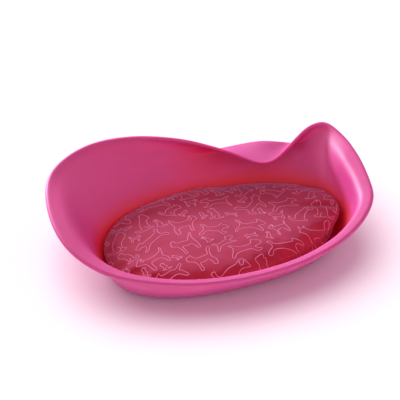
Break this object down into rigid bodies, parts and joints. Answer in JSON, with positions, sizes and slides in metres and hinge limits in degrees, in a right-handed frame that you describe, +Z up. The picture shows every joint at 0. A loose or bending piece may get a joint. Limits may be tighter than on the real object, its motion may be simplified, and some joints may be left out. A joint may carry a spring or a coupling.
{
  "type": "pet bed",
  "caption": "Flexible oval moulded pet bed with a flared rim, its back wall folded forward, holding a thin printed cushion in a zipped cover.",
  "frame": {"origin": "centre of the base on the floor, at the middle of the centre rubber pad", "axes": "+X along the bowl towards the end beside the fold, -Y towards the low front rim, +Z up"},
  "size_m": [0.686, 0.4678, 0.1676],
  "materials": {
    "moulding": "satin, slightly translucent hot pink",
    "pads": "matt dark pink",
    "print_cloth": "woven polyester with a pale line print of animals",
    "plain_cloth": "plain woven polyester",
    "lining": "thin non-woven",
    "wadding": "polyester fibre",
    "tape": "woven tape",
    "teeth": "moulded",
    "zip_metal": "enamelled",
    "label": "blank satin label"
  },
  "bodies": {
    "bowl_body": {"bowl": "moulding", "foot_1": "pads", "foot_2": "pads", "foot_3": "pads", "foot_4": "pads", "foot_5": "pads"},
    "cushion": {"cover_top": "print_cloth", "cover_bottom": "plain_cloth", "inner_casing": "lining", "fibre_filling": "wadding", "zip_tape_front": "tape", "zip_tape_back": "tape", "zip_teeth_front": "teeth", "zip_teeth_back": "teeth", "zip_stop_left": "zip_metal", "zip_stop_right": "zip_metal", "care_label": "label"},
    "slider": {"zip_slider": "zip_metal", "zip_pull": "zip_metal"}
  },
  "joints": [
    {"name": "cushion_lift", "type": "slide", "parent": "bowl_body", "child": "cushion", "axis": [0, -0.06, 0.9982], "range_m": [0, 0.052]},
    {"name": "zip_slide", "type": "slide", "parent": "cushion", "child": "slider", "axis": [-1, 0, 0], "range_m": [0, 0.245]}
  ]
}
